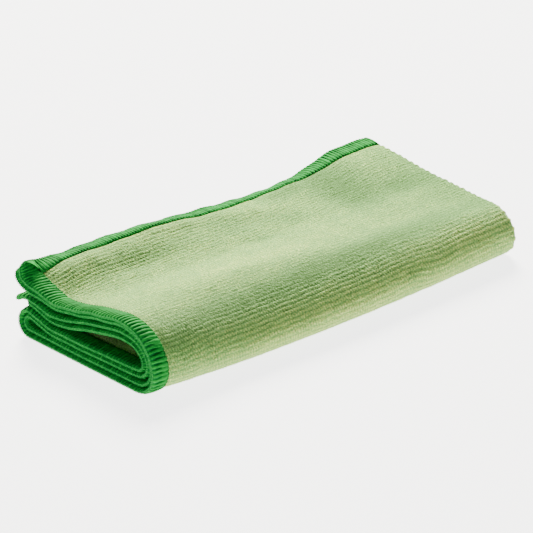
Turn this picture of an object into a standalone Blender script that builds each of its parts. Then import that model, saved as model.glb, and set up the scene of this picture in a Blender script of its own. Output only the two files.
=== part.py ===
"""A hemmed microfibre terry cloth, folded in half and then twice more into a flat stack.

The cloth is one sheet. It is folded in half first, which puts one turn at the far end, so
every leaf of the stack is doubled: an outer and an inner sheet, lying face to face. The
doubled cloth is then folded twice along its length. Seen from the near end, its middle line
runs from the top leaf's rim over the outer front fold to the bottom leaf, round the back
fold to the third leaf, and round the inner front fold to the second leaf's rim.

X runs along the stack from the near hems to the far turn, Y from the front folds to the
back, Z up. The origin is at the middle of the underside. Sizes are in millimetres until
the points are made.
"""
import bpy
import bmesh
import numpy as np
from math import pi

MM = 0.001

# The cloth itself
LENGTH = 200.0         # near hems to far turn
SHEET = 2.0            # one layer of terry
HEM = 2.35             # one layer over its overlocked hem
HEM_WIDTH = 7.0
HEM_EDGE = 1.2         # how far in the hem's round edge reaches
EDGE_THIN = 0.62       # thickness at the very edge, as a share of the hem's
GAP = 0.35             # air between layers
CORNER = 4.0           # radius of the cloth's corners
CLOTH_COLOUR = (0.49, 0.62, 0.32, 1.0)
CLOTH_ROUGHNESS = 0.9

# The middle of the stack, measured from the near hems and from the front fold's zero line
MIDDLE_X = 99.83
MIDDLE_Y = 41.46

# Places that change evenly from the near end to the far end: near, far
FRONT = (-6.7, 1.7)          # middle line at its foremost, Y
BACK = (73.4, 88.0)          # middle line at the back fold, Y
DROOP = (3.0, 0.0)           # drop of the second leaf's rim behind the back fold
FRONT_BOW = 3.7              # the front bulges forwards halfway along

# The front fold, a row for each cross-section. It reaches back from its foremost line, up to the
# fold's top and down to the ground; widest_z is that line's height, and slant turns the upper half
# from round, 0, towards straight, 1. The crest lies crest_back behind the fold's top, and the
# hollow at hollow_share of the way on to the rim's hem. inner_rise is half the height of the fold
# inside it, inner_reach its depth, and inner_lean how far its top lies back.
FRONT_COLUMNS = ("x", "reach_up", "reach_down", "widest_z", "slant", "crest_back", "hollow_share",
                 "inner_rise", "inner_reach", "inner_lean")
FRONT_ROWS = (
    (0.0, 17.0, 9.0, 10.7, 0.0, 7.0, 0.62, 6.4, 7.4, 2.6),
    (20.0, 20.0, 8.6, 10.0, 0.4, 6.0, 0.56, 5.7, 6.0, 2.0),
    (45.0, 26.5, 7.4, 8.8, 1.0, 4.5, 0.5, 4.4, 4.4, 0.8),
    (100.0, 25.0, 6.8, 8.6, 1.0, 4.0, 0.5, 3.7, 3.8, 0.4),
    (150.0, 18.0, 6.4, 8.8, 0.6, 6.0, 0.5, 3.2, 3.4, 0.2),
    (200.0, 11.0, 6.2, 9.2, 0.3, 9.0, 0.5, 2.95, 3.1, 0.0),
)
SLANT = 0.25                 # how far from round a full slant takes the fold

# The top leaf's middle line, a row for each cross-section. x is the distance from the near
# hems; rim, hem (the hem's inner border), hollow and crest follow from the back to the front.
# second_y is where the second leaf ends, loop the opening inside the back fold below it.
TOP_COLUMNS = ("x", "rim_y", "rim_z", "hem_y", "hem_z", "hollow_z", "crest_z", "second_y", "loop")
TOP_ROWS = (
    (0.0, 76.8, 31.4, 74.2, 24.6, 19.8, 26.5, 77.2, 2.9),
    (12.0, 77.4, 27.4, 70.6, 26.4, 19.9, 26.2, 77.0, 2.8),
    (45.0, 79.5, 24.6, 72.7, 26.0, 19.4, 25.3, 76.4, 2.3),
    (70.0, 81.5, 22.3, 74.7, 24.0, 18.7, 24.2, 77.0, 1.9),
    (100.0, 84.0, 19.2, 77.1, 20.1, 18.0, 22.8, 77.8, 1.2),
    (125.0, 86.0, 15.9, 79.3, 18.1, 17.7, 21.4, 78.2, 0.6),
    (142.0, 87.2, 14.6, 80.6, 17.7, 17.5, 20.3, 78.8, 0.4),
    (158.0, 88.2, 16.3, 81.5, 17.9, 17.4, 19.2, 81.0, 0.4),
    (175.0, 90.2, 19.9, 83.3, 19.2, 17.4, 18.5, 84.5, 0.4),
    (200.0, 92.2, 19.2, 85.2, 18.8, 17.7, 17.8, 87.5, 0.4),
)

# How far each sheet's near hem stands back, a row for each rim and each stretch between them
SETBACK_COLUMNS = ("place", "outer_sheet", "inner_sheet")
SETBACK_ROWS = (
    ("top rim", 0.0, -0.8),
    ("top leaf", 0.0, 2.4),
    ("outer front fold", 0.2, 1.6),
    ("bottom leaf", 0.0, 0.4),
    ("back fold", 0.0, 0.8),
    ("third leaf", 0.0, 0.6),
    ("inner front fold", 2.4, 2.4),
    ("second leaf", 1.2, 1.8),
    ("second rim", 1.2, -0.8),
)
SETBACK_REACH = 60.0
HEM_STAGGER = 3.0            # the stack is as thick as its hems this much past the first of them
HEM_EASE = 8.0               # and then eases down over this length
TOP_RIM_CUT = 2.4            # the top leaf's inner sheet is this much narrower at the near end
SECOND_RIM_CUT = 5.0         # and the second leaf's outer sheet

# Lines of the mesh: steps along each stretch of the middle line, and places from the near hems
STEPS = (8, 12, 3, 7, 5, 7, 12)
TURN_STEPS = 4
CROSS_LINES = (14.0, 19.0, 28.0, 42.0, 60.0, 80.0, 100.0, 118.0, 134.0, 150.0, 166.0, 184.0)
TABLE_STEP_X = 2.0
TABLE_STEP_V = 0.5
INNER_STEP = 0.1             # the inner front fold finds its place in steps of this


def smooth(t):
    """0 below 0, 1 above 1, and a soft rise between."""
    t = np.clip(t, 0.0, 1.0)
    return t * t * (3.0 - 2.0 * t)


def evenly(pair, x):
    """A size that changes evenly from the near end to the far end."""
    return pair[0] + (pair[1] - pair[0]) * x / LENGTH


def column(all_rows, columns, name, x):
    """A column of a table of cross-sections at x, as a smooth curve through its rows."""
    table = np.array(all_rows)
    rows, values = table[:, 0], table[:, columns.index(name)]
    slopes = np.gradient(values, rows)
    slopes[[0, -1]] = 0.0
    i = int(np.clip(np.searchsorted(rows, x) - 1, 0, len(rows) - 2))
    width = rows[i + 1] - rows[i]
    t = (x - rows[i]) / width
    start = (1 + 2 * t) * (1 - t) ** 2 * values[i] + t * (1 - t) ** 2 * width * slopes[i]
    end = t * t * (3 - 2 * t) * values[i + 1] - t * t * (1 - t) * width * slopes[i + 1]
    return start + end


def top(name, x):
    return column(TOP_ROWS, TOP_COLUMNS, name, x)


def front(name, x):
    return column(FRONT_ROWS, FRONT_COLUMNS, name, x)


def spline(points, steps=10):
    """A centripetal Catmull-Rom curve through the points."""
    p = np.array(points, float)
    p = np.vstack((2 * p[0] - p[1], p, 2 * p[-1] - p[-2]))
    knots = np.concatenate(((0.0,), np.cumsum(np.linalg.norm(np.diff(p, axis=0), axis=1) ** 0.5)))
    curve = []
    for i in range(1, len(p) - 2):
        t0, t1, t2, t3 = knots[i - 1:i + 3]
        t = np.linspace(t1, t2, steps, endpoint=False)[:, None]
        a1 = (t1 - t) / (t1 - t0) * p[i - 1] + (t - t0) / (t1 - t0) * p[i]
        a2 = (t2 - t) / (t2 - t1) * p[i] + (t - t1) / (t2 - t1) * p[i + 1]
        a3 = (t3 - t) / (t3 - t2) * p[i + 1] + (t - t2) / (t3 - t2) * p[i + 2]
        b1 = (t2 - t) / (t2 - t0) * a1 + (t - t0) / (t2 - t0) * a2
        b2 = (t3 - t) / (t3 - t1) * a2 + (t - t1) / (t3 - t1) * a3
        curve.append((t2 - t) / (t2 - t1) * b1 + (t - t1) / (t2 - t1) * b2)
    return np.vstack(curve + [p[-2:-1]])


def along(line):
    """Unit directions along a line of points."""
    step = np.gradient(line, axis=0)
    return step / np.linalg.norm(step, axis=1)[:, None]


def turn(centre, reach, rise, lean, start, end, count):
    """A fold seen from its end: part of a leaning ellipse, in quarter turns from its top."""
    angle = np.linspace(start, end, count) * pi / 2
    y = centre[0] + reach * np.sin(angle) + lean * np.cos(angle)
    return np.column_stack((y, centre[1] + rise * np.cos(angle)))


def front_fold(x, crest_z, bottom_z, count):
    """The outer front fold seen from its end: slanted above its foremost line and round below."""
    front_y = evenly(FRONT, x) - FRONT_BOW * np.sin(pi * x / LENGTH)
    angle = np.linspace(0.0, pi, count)
    forward, up = np.sin(angle), np.cos(angle)
    power = 1.0 + SLANT * front("slant", x)
    upper_y = front("reach_up", x) * (1.0 - forward ** power)
    lower_y = front("reach_down", x) * (1.0 - forward)
    widest_z = front("widest_z", x)
    upper_z = (crest_z - widest_z) * np.maximum(up, 0.0) ** power
    lower_z = (widest_z - bottom_z) * np.minimum(up, 0.0)
    return np.column_stack((front_y + np.where(up > 0.0, upper_y, lower_y), widest_z + upper_z + lower_z))


def stretches(x):
    """The points that shape the seven stretches of the middle line at x."""
    thick = SHEET + (HEM - SHEET) * (1.0 - smooth((x - HEM_WIDTH - HEM_STAGGER) / HEM_EASE))
    pair = 2.0 * (thick + GAP)
    bottom_z = thick + GAP / 2.0
    third_z = bottom_z + pair
    loop = top("loop", x)
    crest_z = top("crest_z", x)
    hollow_z = top("hollow_z", x)
    hem_y, hem_z = top("hem_y", x), top("hem_z", x)
    second_y = top("second_y", x)

    outer_fold = front_fold(x, crest_z, bottom_z, 17)
    fold_top = outer_fold[0, 0]

    back_rise = (pair + loop) / 2.0
    back = (evenly(BACK, x) - back_rise, bottom_z + back_rise)
    back_fold = turn(back, back_rise, back_rise, 0.0, 2.0, 0.0, 9)
    round_back = back_rise + pair

    crest_y = fold_top + front("crest_back", x)
    hollow_y = crest_y + front("hollow_share", x) * (hem_y - crest_y)
    top_leaf = np.array((
        (top("rim_y", x), top("rim_z", x)),
        (hem_y, hem_z),
        (hollow_y + 6.0, hollow_z + 0.12 * (hem_z - hollow_z)),
        (hollow_y - 3.0, hollow_z),
        (0.5 * (crest_y + hollow_y), 0.55 * hollow_z + 0.45 * crest_z),
        (crest_y, crest_z - 0.25)))
    fine = front_fold(x, crest_z, bottom_z, 121)
    top_line = np.vstack((fine[60::-1], spline(top_leaf)[::-1]))

    # the inner front fold lies as near to the outer one as the doubled sheet lets it
    inner_reach, inner_rise = front("inner_reach", x), front("inner_rise", x)
    centre = (fine[60, 0] + pair + inner_reach, third_z + inner_rise)
    inner = turn(centre, inner_reach, inner_rise, front("inner_lean", x), -2.0, 0.0, 11)
    while np.min(np.linalg.norm(fine[:, None, :] - inner[None, :, :], axis=2)) < pair:
        inner[:, 0] += INNER_STEP
    inner_y = inner[-1, 0]

    def third_height(y):
        share = (y - inner_y) / (back[0] - inner_y)
        return third_z + loop * smooth((share - 0.78) / 0.22)

    def second_height(y):
        """On the third leaf at the back, and carried up under the top leaf at the front."""
        share = (y - inner_y) / (back[0] - inner_y)
        above = np.interp(y, top_line[:, 0], top_line[:, 1])
        slope = np.interp(y + 1, top_line[:, 0], top_line[:, 1]) - above
        under = above - pair * np.sqrt(1 + slope * slope)
        lying = third_height(y) + pair + (HEM - SHEET) * smooth((y - second_y + 10.0) / 2.0)
        carried = np.maximum(under - lying, 0.0) * (1.0 - smooth((share - 0.5) / 0.3))
        past_fold = np.clip(y - back[0], 0.0, 0.8 * round_back)
        fall = round_back - np.sqrt(round_back ** 2 - past_fold ** 2)
        return lying + carried - np.minimum(fall, evenly(DROOP, x) * smooth((y - second_y + 7.0) / 7.0))

    leaf_y = inner_y + (back[0] - inner_y) * np.array((0.2, 0.42, 0.62, 0.78, 0.9))
    second_shares = np.array((0.07, 0.15, 0.25, 0.38, 0.55, 0.7, 0.82, 0.92, 1.0))
    second_ys = inner_y + (second_y - inner_y) * second_shares
    bottom_leaf = np.column_stack((leaf_y, np.full(len(leaf_y), bottom_z)))
    third_leaf = np.column_stack((leaf_y, third_height(leaf_y)))[::-1]
    second_leaf = np.column_stack((second_ys, second_height(second_ys)))
    return (top_leaf, outer_fold, bottom_leaf, back_fold, third_leaf, inner, second_leaf), bottom_z


def middle_line(x, steps=10):
    """The doubled cloth's middle line at x, and where on it each of its stretches ends."""
    parts, bottom_z = stretches(x)
    line = spline(np.vstack(parts), steps)
    line[:, 1] = np.maximum(line[:, 1], bottom_z)
    counts = np.cumsum([len(part) for part in parts])
    fold_ends = (counts[0], counts[1] - 1, counts[2], counts[3] - 1, counts[4], counts[5] - 1)
    marks = [0] + [int(end) * steps for end in fold_ends] + [len(line) - 1]
    return line, marks


def fold_tables():
    """The folded cloth's middle surface over x and over v, the distance across the flat cloth."""
    xs = np.arange(0.0, LENGTH + TABLE_STEP_X / 2, TABLE_STEP_X)
    lines, runs, all_marks = [], [], []
    for x in xs:
        line, marks = middle_line(x)
        lines.append(line)
        all_marks.append(marks)
        steps = np.linalg.norm(np.diff(line, axis=0), axis=1)
        runs.append(np.concatenate(((0.0,), np.cumsum(steps))))
    lengths = np.array([np.diff(run[marks]) for run, marks in zip(runs, all_marks)])
    flat_marks = np.concatenate(((0.0,), np.cumsum(lengths.mean(axis=0))))
    vs = np.linspace(0.0, flat_marks[-1], int(flat_marks[-1] / TABLE_STEP_V) + 1)
    places, normals = [], []
    for line, run, marks in zip(lines, runs, all_marks):
        at = np.interp(vs, flat_marks, run[marks])
        direction = along(line)
        tangent = np.column_stack([np.interp(at, run, direction[:, k]) for k in (0, 1)])
        tangent /= np.linalg.norm(tangent, axis=1)[:, None]
        places.append(np.column_stack([np.interp(at, run, line[:, k]) for k in (0, 1)]))
        normals.append(np.column_stack((tangent[:, 1], -tangent[:, 0])))
    return xs, vs, np.array(places), np.array(normals), flat_marks


def read(table, xs, vs, x, v):
    """A table over x and v, read between its lines."""
    i = np.clip(x / (xs[1] - xs[0]), 0, len(xs) - 1.001)
    j = np.clip(v / (vs[1] - vs[0]), 0, len(vs) - 1.001)
    i0, j0 = i.astype(int), j.astype(int)
    s, t = (i - i0)[:, None], (j - j0)[:, None]
    near = table[i0, j0] * (1 - t) + table[i0, j0 + 1] * t
    far = table[i0 + 1, j0] * (1 - t) + table[i0 + 1, j0 + 1] * t
    return near * (1 - s) + far * s


def round_corners(u, v, flat_u, flat_v):
    """Draw the points near the flat cloth's four corners in to a round corner."""
    from_u, from_v = np.minimum(u, flat_u - u), np.minimum(v, flat_v - v)
    a = np.clip(1 - from_u / CORNER, 0, 1)
    b = np.clip(1 - from_v / CORNER, 0, 1)
    in_u = CORNER * a * (1 - np.sqrt(1 - b * b / 2))
    in_v = CORNER * b * (1 - np.sqrt(1 - a * a / 2))
    return u + np.where(u < flat_u / 2, in_u, -in_u), v + np.where(v < flat_v / 2, in_v, -in_v)


def thickness(u, v, flat_u, flat_v):
    """Thickness of the flat cloth: terry, the thicker hem, and the hem's round edge."""
    edge = np.minimum(np.minimum(u, flat_u - u), np.minimum(v, flat_v - v))
    body = SHEET + (HEM - SHEET) * (1.0 - smooth((edge - HEM_WIDTH + 1.0) / 2.0))
    return body, body * (EDGE_THIN + (1 - EDGE_THIN) * np.clip(edge / HEM_EDGE, 0, 1) ** 0.5)


def fold(u, v, tables):
    """Where points of the flat cloth's middle surface lie in the folded stack."""
    xs, vs, places, normals, flat_marks = tables
    turn_x = LENGTH - SHEET - GAP / 2
    turn_radius = (SHEET + GAP) / 2
    turn_length = pi * turn_radius
    flat_u, flat_v = 2 * turn_x + turn_length, flat_marks[-1]
    body = thickness(u, v, flat_u, flat_v)[0]
    u, v = round_corners(u, v, flat_u, flat_v)
    angle = np.clip((u - turn_x) / turn_length, 0, 1) * pi
    inner = u > flat_u / 2
    x = np.where(inner, np.minimum(flat_u - u, turn_x), np.minimum(u, turn_x))
    middles = (flat_marks[:-1] + flat_marks[1:]) / 2
    setback_at = np.concatenate(((0.0,), middles, (flat_v,)))
    outer_back = np.interp(v, setback_at, [row[1] for row in SETBACK_ROWS])
    inner_back = np.interp(v, setback_at, [row[2] for row in SETBACK_ROWS])
    near = 1.0 - smooth(x / SETBACK_REACH)
    v = v + TOP_RIM_CUT * near * inner * (1.0 - smooth(v / 40.0))
    v = v - SECOND_RIM_CUT * near * ~inner * smooth((v - flat_v + 40.0) / 40.0)
    x = x + near * np.where(inner, inner_back, outer_back)
    place, normal = read(places, xs, vs, x, v), read(normals, xs, vs, x, v)
    normal /= np.linalg.norm(normal, axis=1)[:, None]
    side = np.cos(angle)[:, None] * ((body + GAP) / 2)[:, None]
    yz = place + side * normal
    return np.column_stack((x + turn_radius * np.sin(angle) - MIDDLE_X, yz[:, 0] - MIDDLE_Y, yz[:, 1]))


def mesh_lines(flat_marks):
    """The flat cloth's mesh lines, closer at the hems, the folds and the far turn."""
    hem = np.array((0.0, HEM_EDGE, HEM_WIDTH / 2, HEM_WIDTH - 1.0, HEM_WIDTH + 1.0, HEM_WIDTH + 4.0))
    turn_x = LENGTH - SHEET - GAP / 2
    flat_u = 2 * turn_x + pi * (SHEET + GAP) / 2
    one_side = np.concatenate((hem, CROSS_LINES, (turn_x,)))
    across_turn = np.linspace(turn_x, flat_u - turn_x, TURN_STEPS + 1)[1:-1]
    us = np.concatenate((one_side, across_turn, (flat_u - one_side)[::-1]))

    starts = flat_marks[:-1].copy()
    ends = flat_marks[1:].copy()
    starts[0], ends[-1] = hem[-1], flat_marks[-1] - hem[-1]
    vs = [hem[:-1]]
    for start, end, count in zip(starts, ends, STEPS):
        vs.append(np.linspace(start, end, count, endpoint=False))
    vs.append((flat_marks[-1] - hem)[::-1])
    return us, np.concatenate(vs)


def make_material(name, colour, roughness):
    material = bpy.data.materials.new(name)
    material.use_nodes = True
    shader = material.node_tree.nodes["Principled BSDF"]
    shader.inputs["Base Color"].default_value = colour
    shader.inputs["Roughness"].default_value = roughness
    shader.inputs["Metallic"].default_value = 0.0
    return material


def make_cloth(collection):
    """The flat cloth as a grid, folded, and given its thickness by Solidify."""
    tables = fold_tables()
    us, vs = mesh_lines(tables[4])
    columns, rows = len(us) - 1, len(vs) - 1

    mesh = bmesh.new()
    bmesh.ops.create_grid(mesh, x_segments=columns, y_segments=rows, size=1.0)
    square = np.array([vert.co for vert in mesh.verts])
    u = us[np.rint((square[:, 0] + 1.0) / 2.0 * columns).astype(int)]
    v = vs[np.rint((square[:, 1] + 1.0) / 2.0 * rows).astype(int)]
    # the two sheets are split into triangles as mirror images, so that they lie evenly apart
    outer = [face for face in mesh.faces if face.calc_center_median().x < 0.0]
    inner = [face for face in mesh.faces if face.calc_center_median().x >= 0.0]
    bmesh.ops.triangulate(mesh, faces=outer, quad_method="FIXED")
    bmesh.ops.triangulate(mesh, faces=inner, quad_method="ALTERNATE")
    for vert, point in zip(mesh.verts, fold(u, v, tables) * MM):
        vert.co = point
    shares = thickness(u, v, us[-1], vs[-1])[1] / HEM
    data = bpy.data.meshes.new("cloth")
    mesh.to_mesh(data)
    mesh.free()
    data.shade_smooth()

    cloth = bpy.data.objects.new("cloth", data)
    collection.objects.link(cloth)
    group = cloth.vertex_groups.new(name="thickness")
    for index, share in enumerate(shares):
        group.add([index], float(share), "REPLACE")
    solidify = cloth.modifiers.new("thickness", "SOLIDIFY")
    solidify.thickness = HEM * MM
    solidify.offset = 0.0
    solidify.vertex_group = "thickness"
    cloth.data.materials.append(make_material("microfibre terry", CLOTH_COLOUR, CLOTH_ROUGHNESS))
    return cloth


def main():
    for old in list(bpy.data.objects):
        bpy.data.objects.remove(old)
    collection = bpy.data.collections.new("folded microfibre cloth")
    bpy.context.scene.collection.children.link(collection)
    make_cloth(collection)


main()
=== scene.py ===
"""A folded microfibre terry cloth with a green overlocked hem, on a pale studio floor.

The cloth is worked out flat, as it was cut and sewn, and every point is then folded: u runs
along the cloth from the outer sheet's near hem round the far turn to the inner sheet's, v
across it from the top leaf's rim to the second leaf's, w up from the middle of the sheet.
Sizes are in millimetres until the points are made.
"""
from math import cos, pi, radians, sin

import bpy
import numpy as np
from mathutils import Matrix, Vector


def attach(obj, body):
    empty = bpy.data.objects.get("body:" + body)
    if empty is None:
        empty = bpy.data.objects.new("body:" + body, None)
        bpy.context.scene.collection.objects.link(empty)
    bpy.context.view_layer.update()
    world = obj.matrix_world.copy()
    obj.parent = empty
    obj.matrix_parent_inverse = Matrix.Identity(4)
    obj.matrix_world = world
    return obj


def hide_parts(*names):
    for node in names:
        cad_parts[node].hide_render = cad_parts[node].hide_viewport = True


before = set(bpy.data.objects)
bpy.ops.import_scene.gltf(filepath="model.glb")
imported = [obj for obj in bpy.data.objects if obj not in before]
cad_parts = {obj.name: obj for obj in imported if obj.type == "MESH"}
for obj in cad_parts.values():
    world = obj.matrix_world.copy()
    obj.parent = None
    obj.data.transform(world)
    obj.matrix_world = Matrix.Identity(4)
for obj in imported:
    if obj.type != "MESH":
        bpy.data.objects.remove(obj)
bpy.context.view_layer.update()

MM = 0.001
TABLE_STEP_X = 2.0  # the fold is worked out at this spacing along the stack
TABLE_STEP_V = 0.5  # and across the flat cloth
INNER_STEP = 0.1  # the inner front fold finds its place in steps of this

# The cloth itself
LENGTH = 200.0  # near hems to far turn
SHEET = 2.0  # one layer of terry
HEM = 2.35  # one layer over its overlocked hem
HEM_WIDTH = 7.0
HEM_EDGE = 1.2  # how far in the hem's round edge reaches
HEM_STEP = 2.0  # over which the terry thickens to the hem
GAP = 0.35  # air between layers
CORNER = 4.0  # radius of the cloth's corners

# The middle of the stack, measured from the near hems and from the front fold's zero line
MIDDLE_X = 99.83
MIDDLE_Y = 41.46

# Places that change evenly from the near end to the far end: near, far
FRONT = (-6.7, 1.7)  # middle line at its foremost, Y
BACK = (73.4, 88.0)  # middle line at the back fold, Y
DROOP = (3.0, 0.0)  # drop of the second leaf's rim behind the back fold
FRONT_BOW = 3.7  # the front bulges forwards halfway along

# The front fold, a row for each cross-section. It reaches back from its foremost line, up to the
# fold's top and down to the ground; widest_z is that line's height, and slant turns the upper half
# from round, 0, towards straight, 1. The crest lies crest_back behind the fold's top, and the
# hollow at hollow_share of the way on to the rim's hem. inner_rise is half the height of the fold
# inside it, inner_reach its depth, and inner_lean how far its top lies back.
FRONT_COLUMNS = ("x", "reach_up", "reach_down", "widest_z", "slant", "crest_back", "hollow_share",
                 "inner_rise", "inner_reach", "inner_lean")
FRONT_ROWS = (
    (0.0, 17.0, 9.0, 10.7, 0.0, 7.0, 0.62, 6.4, 7.4, 2.6),
    (20.0, 20.0, 8.6, 10.0, 0.4, 6.0, 0.56, 5.7, 6.0, 2.0),
    (45.0, 26.5, 7.4, 8.8, 1.0, 4.5, 0.5, 4.4, 4.4, 0.8),
    (100.0, 25.0, 6.8, 8.6, 1.0, 4.0, 0.5, 3.7, 3.8, 0.4),
    (150.0, 18.0, 6.4, 8.8, 0.6, 6.0, 0.5, 3.2, 3.4, 0.2),
    (200.0, 11.0, 6.2, 9.2, 0.3, 9.0, 0.5, 2.95, 3.1, 0.0),
)
SLANT = 0.25  # how far from round a full slant takes the fold

# Points that shape each of the folds, and the outer one where the leaves inside keep clear of it
OUTER_POINTS, INNER_POINTS, BACK_POINTS, CLEAR_POINTS = 17, 11, 9, 121
LEAF_SHARES = (0.2, 0.42, 0.62, 0.78, 0.9)  # points of the bottom and third leaves, front to back
SECOND_SHARES = (0.07, 0.15, 0.25, 0.38, 0.55, 0.7, 0.82, 0.92, 1.0)
LOOP_FROM, LOOP_OVER = 0.78, 0.22  # where the third leaf rises over the back fold
CARRIED_TO, CARRIED_FADE = 0.5, 0.3  # and the top leaf carries the second one up to here
SECOND_HEM_FROM, SECOND_HEM_EASE = 10.0, 2.0  # the second leaf lifts this far before its rim
FALL_REACH = 0.8  # its rim falls round this share of the back fold

# The top leaf's middle line, a row for each cross-section. x is the distance from the near
# hems; rim, hem (the hem's inner border), hollow and crest follow from the back to the front.
# second_y is where the second leaf ends, loop the opening inside the back fold below it.
TOP_COLUMNS = ("x", "rim_y", "rim_z", "hem_y", "hem_z", "hollow_z", "crest_z", "second_y", "loop")
TOP_ROWS = (
    (0.0, 76.8, 31.4, 74.2, 24.6, 19.8, 26.5, 77.2, 2.9),
    (12.0, 77.4, 27.4, 70.6, 26.4, 19.9, 26.2, 77.0, 2.8),
    (45.0, 79.5, 24.6, 72.7, 26.0, 19.4, 25.3, 76.4, 2.3),
    (70.0, 81.5, 22.3, 74.7, 24.0, 18.7, 24.2, 77.0, 1.9),
    (100.0, 84.0, 19.2, 77.1, 20.1, 18.0, 22.8, 77.8, 1.2),
    (125.0, 86.0, 15.9, 79.3, 18.1, 17.7, 21.4, 78.2, 0.6),
    (142.0, 87.2, 14.6, 80.6, 17.7, 17.5, 20.3, 78.8, 0.4),
    (158.0, 88.2, 16.3, 81.5, 17.9, 17.4, 19.2, 81.0, 0.4),
    (175.0, 90.2, 19.9, 83.3, 19.2, 17.4, 18.5, 84.5, 0.4),
    (200.0, 92.2, 19.2, 85.2, 18.8, 17.7, 17.8, 87.5, 0.4),
)
HOLLOW_BACK, HOLLOW_FRONT = 6.0, 3.0  # how far the hollow's bottom reaches back and forwards
HOLLOW_LIFT = 0.12  # and how much of the way up to the hem it has risen at the back
TO_HOLLOW = 0.55  # halfway to the crest the leaf is still this near to the hollow
CREST_EASE = 0.25

# How far each sheet's near hem stands back, a row for each rim and each stretch between them
SETBACK_COLUMNS = ("place", "outer_sheet", "inner_sheet")
SETBACK_ROWS = (
    ("top rim", 0.0, -0.8),
    ("top leaf", 0.0, 2.4),
    ("outer front fold", 0.2, 1.6),
    ("bottom leaf", 0.0, 0.4),
    ("back fold", 0.0, 0.8),
    ("third leaf", 0.0, 0.6),
    ("inner front fold", 2.4, 2.4),
    ("second leaf", 1.2, 1.8),
    ("second rim", 1.2, -0.8),
)
SETBACK_REACH = 60.0
HEM_STAGGER = 3.0  # the stack is as thick as its hems this much past the first of them
HEM_EASE = 8.0  # and then eases down over this length
TOP_RIM_CUT = 2.4  # the top leaf's inner sheet is this much narrower at the near end
SECOND_RIM_CUT = 5.0  # and the second leaf's outer sheet
RIM_CUT_REACH = 40.0

# Soft ridges and troughs of the top leaf besides its folds: the middle, the half length along
# the crease, the half width, its turn from the ribs in degrees, and how high it lifts the leaf
SWELL_COLUMNS = ("name", "x", "v", "half_length", "half_width", "turn", "height")
CREASE_ROWS = (
    ("ridge beside the rim's hem", 78.0, 8.0, 30.0, 5.0, 7.0, 1.1),
    ("level by the near corner", 28.0, 12.0, 22.0, 6.0, 4.0, 0.6),
    ("dent in the hollow", 50.0, 23.0, 22.0, 6.0, 5.0, -0.8),
    ("dimple before the middle", 102.0, 36.0, 10.0, 4.0, 20.0, -0.35),
    ("ridge across the middle", 116.0, 17.0, 16.0, 7.0, 15.0, 1.0),
    ("rise to the far end", 182.0, 18.0, 18.0, 16.0, 0.0, 1.6),
    ("dimple at the far end", 180.0, 38.0, 12.0, 5.0, 0.0, -0.5),
)
SWELL_FALL = 1.5  # how soon a ridge, trough or patch fades towards its half width
CREASES_END, CREASES_FADE = 62.0, 24.0  # the top leaf's creases end round the front crest

# Painted shade and painted light: soft patches that darken the outer face's colour where it should lie in
# shade, and lighten it where their height is below 0, placed as the creases are; height is how much of the
# way from the pile's tips to its ground they take the colour
PAINTED_SHADE_AND_LIGHT_ROWS = (
    # painted shade on slopes and hollows that face away from the light
    ("past the dip", 161.0, 24.0, 13.0, 26.0, 0.0, 1.15),
    ("in the dip", 141.0, 12.0, 14.0, 7.0, 0.0, 0.70),
    ("far end", 198.0, 44.0, 22.0, 34.0, 0.0, 0.50),
    ("far hollow", 180.0, 40.0, 12.0, 7.0, 4.0, 0.75),
    ("middle hollow", 128.0, 32.0, 12.0, 6.0, 16.0, 0.30),
    ("before the middle", 100.0, 18.0, 12.0, 10.0, 8.0, 0.35),
    ("streak before the middle", 106.0, 38.0, 10.0, 3.5, 12.0, 0.35),
    ("near hollow", 52.0, 19.0, 26.0, 6.0, 4.0, 0.30),
    # painted shade under the front fold's crest, and painted light low on the front fold and at its far
    # end
    ("round the front fold", 100.0, 77.0, 130.0, 7.5, -1.2, 0.80),
    ("low on the front fold", 100.0, 98.0, 130.0, 9.0, 0.0, -0.6),
    ("front fold's far end", 178.0, 90.0, 32.0, 12.0, 0.0, -0.25),
    ("painted highlight on the crest", 84.0, 56.0, 50.0, 8.0, 2.0, -0.25),
)
PAINTED_SHADE_DEPTH = 0.5  # how far down the terry's colours the painted shade goes

PUCKER = 0.22  # waves that the hem's thread draws into the terry beside it
PUCKER_LENGTH = 16.0
PUCKER_REACH = 14.0
PUCKER_DRIFT, PUCKER_DRIFT_LENGTH = 4.0, 23.0  # they come closer together and wider apart
PUCKER_START = 1.0  # where in a wave those beside the near hem start

# The terry: looped pile in ribs along the folds, on both faces of the cloth
RIB_PITCH = 1.78
RIB_LINES = (0.0, 0.34, 0.68)  # where the lines of the mesh run across a rib
RIB_SHAPE = (0.0, 1.0, 1.0)  # and how high the pile stands there
GROOVE = 0.70  # height of the ground between two ribs
CREST = 0.98  # height of a rib
LAID_EVENLY = 100.0  # from the rim to here the ribs keep their distance all along the stack
NEAR_CURL = 75.0  # except this near the hems, where the curled leaf draws them together
SHOULDER = 75.0  # here, round the top of the front fold, the loops close over the grooves
SHOULDER_WIDTH, SHOULDER_FILL = 8.0, 0.2
LOOSE_PILE = 0.35  # the pile stands this much higher where nothing presses on it
PRESSED_SHARE = 0.4  # and this share of that where leaves lie on it
PILE_UNEVEN = 0.18
RIB_WANDER = 0.6
WANDER_WAVES = ((0.6, 17.0, 8.0, 5), (0.4, 3.5, 3.5, 6))  # share, length along, length across, seed
WANDER_FROM, WANDER_EASE = 8.0, 6.0  # the ribs run straight beside the rims' hems
LOOP = 1.4  # length of a loop of pile along its rib
LOOP_DIP = 0.26  # how far the pile dips between two loops
LOOP_DRIFT = 1.7  # how far the loops of neighbouring ribs fall out of step
LOOP_DRIFT_LENGTH = 7.0
TUFT_LENGTH, TUFT_SHARE = 3.1, 0.55  # tufts of several loops stand higher or lower together
SHARE_UNEVEN = 0.2
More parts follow.
